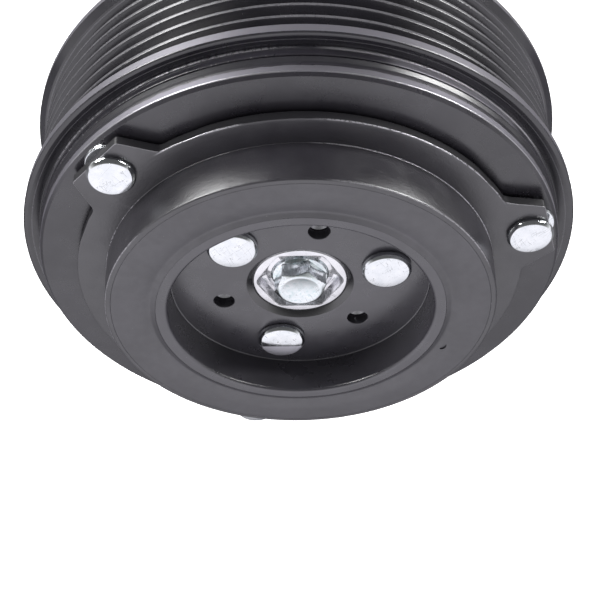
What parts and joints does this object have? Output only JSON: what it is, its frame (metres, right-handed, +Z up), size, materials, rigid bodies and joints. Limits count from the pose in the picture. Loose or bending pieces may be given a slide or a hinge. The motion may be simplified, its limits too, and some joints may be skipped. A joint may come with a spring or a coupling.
{
  "type": "electromagnetic clutch",
  "caption": "Electromagnetic clutch: a grooved belt pulley turns freely until a coil pulls a rubber-damped armature plate against it to drive a compressor shaft.",
  "frame": {"origin": "on the shaft axis, in the rear face of the coil's mounting plate, which seats on the compressor", "axes": "+Y along the shaft towards the compressor, so the clutch's front faces -Y; +Z up; the lead and connector are at the bottom, -Z"},
  "size_m": [0.12, 0.0629, 0.137],
  "materials": {
    "black_paint": "satin black coating with worn bright edges",
    "rotor_steel": "satin black coating, burnished on the friction face",
    "armature_steel": "satin black coating over a stamped edge",
    "coil_steel": "dark phosphate coating",
    "zinc": "bright zinc plate with light scratches",
    "machined_steel": "turned steel",
    "spring_steel": "oiled spring steel",
    "bearing_steel": "ground steel",
    "damper_black": "matte moulded rubber",
    "seal_black": "matte rubber",
    "bobbin_plastic": "natural nylon",
    "cage_plastic": "natural glass-filled nylon",
    "epoxy": "cast resin",
    "copper": "enamelled copper wire",
    "wire_cover": "smooth insulation",
    "connector_plastic": "moulded plastic",
    "terminal_brass": "tinned brass"
  },
  "bodies": {
    "field_coil": {"coil_mounting_plate": "coil_steel", "coil_shell": "coil_steel", "coil_plate_rivets": "machined_steel", "coil_bobbin": "bobbin_plastic", "coil_winding": "copper", "coil_potting": "epoxy", "coil_lead_wires": "wire_cover", "lead_grommet": "seal_black", "connector_housing": "connector_plastic", "connector_terminals": "terminal_brass", "coil_locating_pin": "machined_steel", "coil_snap_ring": "spring_steel", "bearing_inner_ring": "bearing_steel", "rotor_retaining_ring": "spring_steel"},
    "rotor": {"pulley_rim": "black_paint", "rotor_body": "rotor_steel", "bearing_outer_ring": "bearing_steel", "bearing_front_seal": "seal_black", "bearing_rear_seal": "seal_black", "bearing_snap_ring": "spring_steel"},
    "ball_set": {"bearing_balls": "bearing_steel", "bearing_cages": "cage_plastic"},
    "hub": {"hub_boss": "machined_steel", "inner_cup": "black_paint", "hub_rivets": "zinc", "hub_bolt": "zinc", "air_gap_shims": "machined_steel"},
    "damper": {"damper_rubber": "damper_black"},
    "armature": {"armature_plate": "armature_steel", "lobed_plate": "black_paint", "armature_rivets": "zinc"}
  },
  "joints": [
    {"name": "rotor_spin", "type": "hinge", "parent": "field_coil", "child": "rotor", "pos_m": [0, -0.01927, 0], "axis": [0, 1, 0], "continuous": true},
    {"name": "ball_set_spin", "type": "hinge", "parent": "field_coil", "child": "ball_set", "pos_m": [0, -0.01927, 0], "axis": [0, 1, 0], "continuous": true},
    {"name": "hub_spin", "type": "hinge", "parent": "field_coil", "child": "hub", "pos_m": [0, -0.035, 0], "axis": [0, 1, 0], "continuous": true},
    {"name": "damper_twist", "type": "hinge", "parent": "hub", "child": "damper", "pos_m": [0, -0.05, 0], "axis": [0, 1, 0], "range_deg": [-3, 3]},
    {"name": "armature_pull", "type": "slide", "parent": "damper", "child": "armature", "axis": [0, 1, 0], "range_m": [0, 0.00044]}
  ],
  "couplings": [
    {"joint": "ball_set_spin", "follows": "rotor_spin", "ratio": 0.564}
  ]
}
